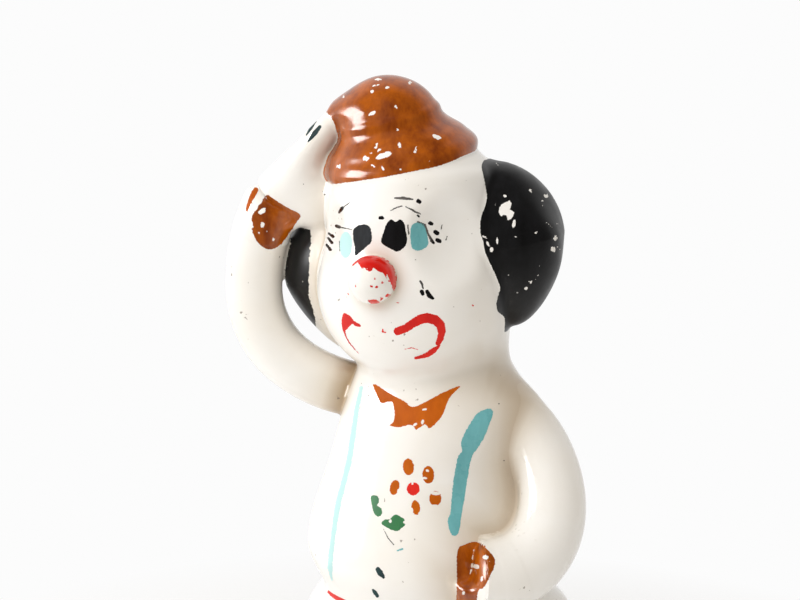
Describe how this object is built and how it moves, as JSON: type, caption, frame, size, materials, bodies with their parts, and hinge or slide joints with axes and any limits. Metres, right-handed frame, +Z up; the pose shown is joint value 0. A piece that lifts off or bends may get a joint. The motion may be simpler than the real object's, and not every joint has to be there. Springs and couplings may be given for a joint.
{
  "type": "clown figurine",
  "caption": "Small standing clown ornament in glazed ceramic, one hand to its bowler hat and the other in its pocket, resting on the flat soles of its shoes.",
  "frame": {"origin": "on the floor, under the middle of the figurine's bounding box", "axes": "+Z up, the clown faces -Y, its raised right arm is on the -X side"},
  "size_m": [0.0642, 0.048, 0.1204],
  "materials": {
    "white_glaze": "clear gloss glaze over off-white clay",
    "brown_enamel": "brushed brown overglaze paint, worn",
    "black_enamel": "brushed black overglaze paint, worn",
    "red_enamel": "brushed red overglaze paint, worn"
  },
  "bodies": {
    "root": {"trousers": "white_glaze", "torso": "white_glaze", "head": "white_glaze", "hat": "brown_enamel", "nose": "red_enamel", "raised_arm": "white_glaze", "raised_cuff": "brown_enamel", "raised_hand": "white_glaze", "hip_arm": "white_glaze", "hip_cuff": "brown_enamel", "hip_hand": "white_glaze", "right_hair": "black_enamel", "right_shoe": "brown_enamel", "left_hair": "black_enamel", "left_shoe": "brown_enamel"}
  },
  "joints": []
}
